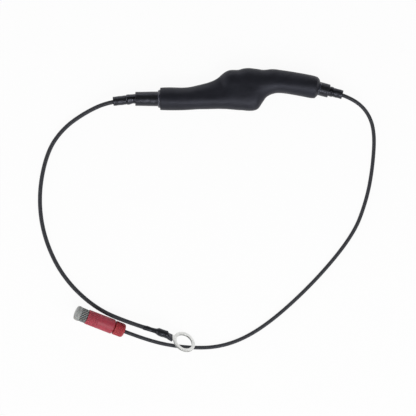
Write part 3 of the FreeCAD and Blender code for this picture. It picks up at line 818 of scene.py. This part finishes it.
# The same over the flat tongue, along the plate, and how far its end is cut askew
TONGUE_SKIN = [
    (-9.4, -0.4, 0.65, 1.7, 1.5, 0.95),
    (-8.6, -0.5, 0.4, 1.9, 1.25, 0.85),
    (-7.8, -0.42, 0.2, 1.98, 1.0, 0.7),
    (-7.2, -0.38, 0.05, 1.98, 0.9, 0.55),
    (-6.78, -0.36, 0.0, 1.98, 0.85, 0.45),
    (-6.7, -0.36, 0.0, 1.93, 0.8, 0.45),
    (-6.74, -0.36, 0.0, 1.75, 0.6, 0.45),
]
TONGUE_SKIN_SKEW = -0.137
# Radius of the sleeve's hole round the lead
SKIN_BORE = 1.06


class TAPLEAD_OT_ring_terminal(bpy.types.Operator):
    """Tinned ring terminal with the shrunk sleeve over its barrel"""

    bl_idname = "taplead.ring_terminal"
    bl_label = "Ring terminal"

    def execute(self, context):
        paint_nodes(["ground_lead_strands"])
        self.add_plate()
        bore = [(x, 0.0, 0.0, SKIN_BORE, SKIN_BORE, 1.0) for x in (-12.6, -13.2)]
        rear = oval_rings(bore + smooth_sections(BARREL_SKIN, 0.25))
        rings = [[self.barrel_seat() @ Vector(p) for p in ring] for ring in rear]
        askew = Matrix.Identity(4)
        askew[0][1] = TONGUE_SKIN_SKEW
        front = self.plate_seat() @ askew
        rings += [[front @ Vector(p) for p in ring] for ring in oval_rings(TONGUE_SKIN)]
        made = mesh_object("ring_sleeve", rings, False, Matrix.Identity(4), "shrink_sleeve")
        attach(made, "lead_set")
        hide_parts("ring_barrel_sleeve")
        return {"FINISHED"}

    def show_punched_walls(self, ring, axis):
        """Gives the hole's wall and the outer wall the duller finish that punching leaves."""
        ring.data.materials.append(material_set()["punched_edge"])
        for face in ring.data.polygons:
            face.material_index = 1 if abs(face.normal.dot(axis)) < 0.5 else 0

    def plate_seat(self):
        """Where the flat plate lies, from the middle of its hole."""
        return seat(RING_CENTRE, TONGUE_HEADING, TONGUE_PITCH, TONGUE_ROLL)

    def barrel_seat(self):
        """Where the crimp barrel lies, from its front end."""
        front = self.plate_seat() @ Vector((-TONGUE_LENGTH, 0.0, BARREL_OFFSET)) / MM
        return seat(front, BARREL_HEADING, BARREL_PITCH, TONGUE_ROLL)

    def add_plate(self):
        """The ring, its tongue and the barrel behind it, in place of one node."""
        flat = self.plate_seat()
        on_end = flat @ Matrix.Rotation(math.radians(-90), 4, "Y")
        hole, outer, half = 4.2, 5.9, 0.425
        outline = [(0.0, hole), (-half, hole), (-half, outer)]
        outline += [(half, outer), (half, hole), (0.0, hole)]
        ring = turned("ring_plate", rounded(outline, 0.16), on_end, "tinned_ring")
        self.show_punched_walls(ring, (on_end.to_3x3() @ Vector((1, 0, 0))).normalized())
        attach(ring, "lead_set")
        sections = [
            (-TONGUE_LENGTH - 0.9, 0.0, 0.0, 1.2, half, 0.35),
            (-TONGUE_LENGTH, 0.0, 0.0, 1.25, half, 0.35),
            (-6.6, -0.1, 0.0, 1.6, half - 0.01, 0.3),
            (-5.8, -0.05, 0.0, 1.95, half - 0.01, 0.3),
            (-5.0, 0.0, 0.0, 2.3, half - 0.02, 0.3),
            (-4.3, 0.0, 0.0, 2.5, half - 0.02, 0.3),
        ]
        tongue = mesh_object("ring_tongue", oval_rings(sections), True, flat, "tinned_ring")
        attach(tongue, "lead_set")
        outer, bore = 1.65, 0.85
        outline = [(-1.4, bore), (-BARREL_LENGTH, bore), (-BARREL_LENGTH, outer)]
        outline += [(-1.2, outer), (0.0, 0.9), (0.0, 0.01)]
        barrel = turned("ring_barrel", rounded(outline, 0.15), self.barrel_seat(), "tinned_ring")
        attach(barrel, "lead_set")
        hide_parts("ring_terminal")


TAP_RIBS = 26
KNURL_LOBES = 16
# Sides of the ribbed piece and of the knurled pieces, enough to draw each rib and lobe
RIBBED_SIDES = 10 * TAP_RIBS
KNURLED_SIDES = 15 * KNURL_LOBES
# Length over which ribs and knurls fade out at their ends, in millimetres
RUN_OUT = 0.4
# Screw threads on the two spigots: where each starts and ends, and how deep they are cut
THREADS = ((3.3, 5.8), (21.4, 23.8))
THREAD_DEPTH = 0.09


def run_out(x, start, end):
    """One between two places, going to nothing at both."""
    return min(1.0, max(0.0, (x - start) / RUN_OUT), max(0.0, (end - x) / RUN_OUT))


def ribs(start, end, depth):
    """Shape of fine straight ribs between two places, with a crest at either side."""

    def groove(x, angle):
        return -depth * run_out(x, start, end) * (0.5 - 0.5 * math.cos(TAP_RIBS * angle)) ** 2

    return groove


def knurl(start, end, depth, pitch=1.15):
    """Shape of a crossed knurl between two places."""

    def groove(x, angle):
        turn = 2 * math.pi * x / pitch
        around = KNURL_LOBES * angle
        bite = max(math.cos(around + turn), math.cos(around - turn))
        return -depth * run_out(x, start, end) * (0.5 + 0.5 * bite) ** 4

    return groove


def paint_shade_on(piece, slot_name, place, chosen):
    """Paints shade on the faces chosen by their distance along and from the axis, with a second,
    darker material.
    """
    piece.data.materials.append(material_set()[slot_name])
    to_millimetres = place.inverted()
    for face in piece.data.polygons:
        spot = to_millimetres @ face.center
        face.material_index = 1 if chosen(spot.x, math.hypot(spot.y, spot.z)) else 0


def cut_away(piece, low, high, matrix):
    """Cuts a block, given by its corners in millimetres, out of a piece."""
    work = bmesh.new()
    verts = []
    for x in (low[0], high[0]):
        for y in (low[1], high[1]):
            for z in (low[2], high[2]):
                verts.append(work.verts.new(matrix @ Vector((x, y, z))))
    across_x = ((0, 1, 3, 2), (4, 6, 7, 5))
    across_y = ((0, 4, 5, 1), (2, 3, 7, 6))
    across_z = ((0, 2, 6, 4), (1, 5, 7, 3))
    for loop in across_x + across_y + across_z:
        work.faces.new([verts[i] for i in loop])
    data = bpy.data.meshes.new("cutter")
    work.to_mesh(data)
    work.free()
    cutter = bpy.data.objects.new("cutter", data)
    bpy.context.collection.objects.link(cutter)
    change = piece.modifiers.new("slot", "BOOLEAN")
    change.operation = "DIFFERENCE"
    change.object = cutter
    bpy.context.view_layer.update()
    cut = piece.evaluated_get(bpy.context.evaluated_depsgraph_get())
    made = bpy.data.meshes.new_from_object(cut)
    piece.modifiers.clear()
    piece.data = made
    bpy.data.objects.remove(cutter)


class TAPLEAD_OT_wire_tap(bpy.types.Operator):
    """Screw-on wire tap: grey cap, red body, needle contact and red end cap"""

    bl_idname = "taplead.wire_tap"
    bl_label = "Wire tap"

    def execute(self, context):
        paint_nodes(["tap_contact", "tap_lead_strands"])
        place = seat(TAP_ORIGIN, TAP_HEADING, TAP_PITCH)
        self.add_grey_cap(place)
        self.add_body(place)
        self.add_end_cap(place)
        return {"FINISHED"}

    def add_grey_cap(self, place):
        """Domed and ribbed cap, with the slot for the tapped wire cut across it."""
        radius, bore, floor, length = 3.82, 2.55, 1.1, 6.1
        ribs_from, rib_depth, slot_half, past = 2.2, 0.62, 1.1, 5.0

        def in_valley(x, r):
            return ribs_from + 0.1 < x < length - 0.02 and 3.0 < r < radius - 0.15

        outline = [(0.0, 0.001), (0.0, 1.4), (0.1, 2.6), (0.35, 3.2), (0.7, 3.55)]
        outline += [(1.5, radius), (5.5, radius), (5.55, radius - 0.06), (length, radius - 0.06)]
        outline += [(length, bore), (floor, bore), (floor, 0.001)]
        points = lengthened(rounded(outline, 0.3), 0.3)
        # The ribs run on past the open end, so they don't fade before it
        shape = ribs(ribs_from, length + RUN_OUT, rib_depth)
        cap = turned("tap_cap_grey", points, place, "grey_nylon", shape, RIBBED_SIDES, bore)
        # Painted shade: the faces down between the ribs get a darker grey, standing in for the
        # shade in the valleys
        paint_shade_on(cap, "rib_shade", place, in_valley)
        low = (floor + 0.02, -past, -slot_half)
        high = (length + 1.0, past, slot_half)
        cut_away(cap, low, high, place)
        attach(cap, "tap_cap")
        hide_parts("tap_cap")

    def add_body(self, place):
        """Knurled body with two threaded spigots and a hole for the needle and the lead."""
        start, end, groove_end, tip = 6.22, 20.52, 21.07, 24.05
        radius, spigot, neck, rear_spigot = 3.75, 2.5, 2.8, 2.6
        needle_hole, lead_hole, hole_step = 0.48, 1.32, 7.5

        def in_groove(x, r):
            return end < x < groove_end + 0.1 and 2.0 < r < 3.5

        outline = [(hole_step, needle_hole), (2.9, needle_hole), (2.9, 2.2), (3.2, spigot)]
        outline += [(start, spigot), (start, 3.5), (start + 0.25, radius)]
        outline += [(end - 0.2, radius), (end, 3.55), (end + 0.03, neck)]
        outline += [(groove_end, neck), (groove_end, rear_spigot), (tip, rear_spigot)]
        outline += [(tip, lead_hole), (hole_step, lead_hole), (hole_step, needle_hole)]
        points = lengthened(rounded(outline, 0.2), 0.17)
        shape = both(knurl(start + 0.2, start + 6.0, 0.28), self.thread)
        body = turned(
            "tap_body_red", points, place, "red_nylon", shape, KNURLED_SIDES, lead_hole
        )
        # Painted shade: the faces in the groove get a darker, deeper red, standing in for the shade
        # in it
        paint_shade_on(body, "red_groove_shade", place, in_groove)
        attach(body, "lead_set")
        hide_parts("tap_body")

    def thread(self, x, angle):
        """Screw thread on both spigots, a millimetre apart."""
        if any(start < x < end for start, end in THREADS):
            return -THREAD_DEPTH * (0.5 + 0.5 * math.cos(2 * math.pi * x - angle))
        return 0.0

    def add_end_cap(self, place):
        """Knurled cap with a hole for the lead."""
        # The hole leaves room for the lead's bend when the cap is pushed back along it
        start, end, radius, bore, hole = 21.17, 26.57, 3.58, 2.66, 1.2
        outline = [(start, bore), (start, radius - 0.12), (start + 0.15, radius)]
        outline += [(end - 1.2, radius), (end - 0.35, radius - 0.35), (end, radius - 1.2)]
        outline += [(end, hole), (end - 1.5, hole), (end - 1.5, bore), (start, bore)]
        points = lengthened(rounded(outline, 0.4), 0.17)
        shape = knurl(start + 0.1, end - 0.9, 0.22)
        cap = turned("tap_end_cap_red", points, place, "red_nylon", shape, KNURLED_SIDES, bore)
        # The photographed cap is a slightly purer red than the body
        cap.data.materials[0] = material_set()["red_cap"]
        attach(cap, "tap_end_cap")
        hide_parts("tap_end_cap")


class TAPLEAD_OT_inner_parts(bpy.types.Operator):
    """Capacitor, resistor and their joint under the jacket"""

    bl_idname = "taplead.inner_parts"
    bl_label = "Parts under the jacket"

    def execute(self, context):
        paint_nodes(["capacitor_body", "capacitor_end_seals", "capacitor_sleeve"])
        paint_nodes(["resistor_core", "resistor_end_caps", "resistor_coating"])
        paint_nodes(["link_crimp", "link_sleeve", "capacitor_leads", "resistor_leads"])
        return {"FINISHED"}


# The photograph's view, straight down: its centre, its width there and the camera's distance
VIEW_CENTRE = Vector((-10.0, -59.25, 5.0)) * MM
VIEW_WIDTH = 208 * MM
VIEW_DISTANCE = 1.5
# Round lamps, in metres and watts: name, place, diameter, power
LAMPS = (
    ("front_softbox", (0.34, -0.74, 0.88), 1.3, 8.9),
    ("front_lamp", (0.08, -0.74, 0.9), 0.22, 1.3),
    ("back_softbox", (-0.2, 1.05, 0.35), 0.8, 1.2),
    ("left_softbox", (-0.95, -0.15, 0.55), 0.8, 3.0),
)
LAMP_AIM = Vector((-0.01, -0.06, 0.0))
# Half the floor's side and how far it lies under the part, in metres
FLOOR_HALF = 3.0
FLOOR_DROP = 0.0001
# Share of plain white in what the camera sees of the floor
PAPER_WHITE = 0.94
WHITE = (1, 1, 1, 1)


class TAPLEAD_OT_stage(bpy.types.Operator):
    """Pale floor, soft studio light and the camera straight above"""

    bl_idname = "taplead.stage"
    bl_label = "Stage"

    def execute(self, context):
        scene = context.scene
        scene.view_settings.view_transform = "Standard"
        self.add_floor()
        self.add_world(scene)
        for name, place, size, watts in LAMPS:
            self.add_lamp(name, place, size, watts)
        data = bpy.data.cameras.new("camera")
        data.lens = data.sensor_width * VIEW_DISTANCE / VIEW_WIDTH
        data.clip_end = 10
        camera = bpy.data.objects.new("camera", data)
        camera.location = VIEW_CENTRE + Vector((0, 0, VIEW_DISTANCE))
        scene.collection.objects.link(camera)
        scene.camera = camera
        return {"FINISHED"}

    def add_floor(self):
        """Pale paper, which the camera sees nearly plain white."""
        work = bmesh.new()
        bmesh.ops.create_grid(work, x_segments=1, y_segments=1, size=FLOOR_HALF)
        data = bpy.data.meshes.new("floor")
        work.to_mesh(data)
        work.free()
        floor = bpy.data.objects.new("floor", data)
        floor.location = (0, 0, -FLOOR_DROP)
        bpy.context.collection.objects.link(floor)
        material, shader, place = new_material("pale studio paper")
        fibre = grain(material, place, size_mm=40.0)
        colour = colour_between(material, fibre, "#fafafa", "#ffffff")
        set_shader(shader, Base_Color=colour, Roughness=0.9, Specular_IOR_Level=0.1)
        white = add_node(material, "ShaderNodeEmission", {"Color": WHITE, "Strength": 1.0})
        ray = add_node(material, "ShaderNodeLightPath").outputs
        seen = larger(material, ray["Is Camera Ray"], ray["Is Glossy Ray"])
        seen = larger(material, seen, ray["Is Transmission Ray"])
        inputs = {0: seen, 1: PAPER_WHITE}
        share = add_node(material, "ShaderNodeMath", inputs, operation="MULTIPLY")
        inputs = {0: share.outputs[0], 1: shader.outputs[0], 2: white.outputs[0]}
        mix = add_node(material, "ShaderNodeMixShader", inputs)
        output = next(n for n in material.node_tree.nodes if n.type == "OUTPUT_MATERIAL")
        material.node_tree.links.new(mix.outputs[0], output.inputs["Surface"])
        floor.data.materials.append(material)

    def add_world(self, scene):
        """Light from all round, brightest near the horizon, in front of a white backdrop."""
        world = bpy.data.worlds.new("studio")
        scene.world = world
        world.use_nodes = True
        world.node_tree.nodes.clear()
        direction = add_node(world, "ShaderNodeTexCoord").outputs["Generated"]
        height = add_node(world, "ShaderNodeSeparateXYZ", {0: direction}).outputs["Z"]
        inputs = {"Value": height, "From Min": 0.1, "From Max": 0.45, "To Min": 1.0, "To Max": 0.1}
        glow = add_node(world, "ShaderNodeMapRange", inputs).outputs["Result"]
        sky = add_node(world, "ShaderNodeBackground", {"Color": WHITE, "Strength": glow})
        backdrop = add_node(world, "ShaderNodeBackground", {"Color": WHITE, "Strength": 1.0})
        ray = add_node(world, "ShaderNodeLightPath").outputs
        seen = larger(world, ray["Is Camera Ray"], ray["Is Transmission Ray"])
        inputs = {0: seen, 1: sky.outputs[0], 2: backdrop.outputs[0]}
        mix = add_node(world, "ShaderNodeMixShader", inputs)
        add_node(world, "ShaderNodeOutputWorld", {"Surface": mix.outputs[0]})

    def add_lamp(self, name, place, size, watts):
        """A round lamp that points at the part."""
        data = bpy.data.lights.new(name, "AREA")
        data.shape = "DISK"
        data.size = size
        data.energy = watts
        lamp = bpy.data.objects.new(name, data)
        lamp.location = place
        aim = LAMP_AIM - Vector(place)
        lamp.rotation_euler = aim.to_track_quat("-Z", "Y").to_euler()
        bpy.context.collection.objects.link(lamp)


class TAPLEAD_PT_panel(bpy.types.Panel):
    """Lists the pieces of the tap lead"""

    bl_idname = "TAPLEAD_PT_panel"
    bl_label = "Tap lead"
    bl_space_type = "VIEW_3D"
    bl_region_type = "UI"
    bl_category = "Tap lead"

    def draw(self, context):
        layout = self.layout
        for group in (context.scene.taplead_sizes, context.scene.taplead_colours):
            for key in group.__annotations__:
                layout.prop(group, key)
        for operator in PIECES:
            layout.operator(operator.bl_idname)


PIECES = (
    TAPLEAD_OT_jacket,
    TAPLEAD_OT_sleeves,
    TAPLEAD_OT_ring_terminal,
    TAPLEAD_OT_wire_tap,
    TAPLEAD_OT_inner_parts,
    TAPLEAD_OT_leads,
    TAPLEAD_OT_stage,
)
CLASSES = (TAPLEAD_PG_sizes, TAPLEAD_PG_colours) + PIECES + (TAPLEAD_PT_panel,)


def register():
    for item in CLASSES:
        bpy.utils.register_class(item)
    bpy.types.Scene.taplead_sizes = bpy.props.PointerProperty(type=TAPLEAD_PG_sizes)
    bpy.types.Scene.taplead_colours = bpy.props.PointerProperty(type=TAPLEAD_PG_colours)


def unregister():
    del bpy.types.Scene.taplead_sizes
    del bpy.types.Scene.taplead_colours
    for item in reversed(CLASSES):
        bpy.utils.unregister_class(item)


def main():
    register()
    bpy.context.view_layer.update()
    bpy.ops.taplead.jacket()
    bpy.ops.taplead.sleeves()
    bpy.ops.taplead.ring_terminal()
    bpy.ops.taplead.wire_tap()
    bpy.ops.taplead.inner_parts()
    bpy.ops.taplead.leads()
    bpy.ops.taplead.stage()


if __name__ == "__main__":
    main()
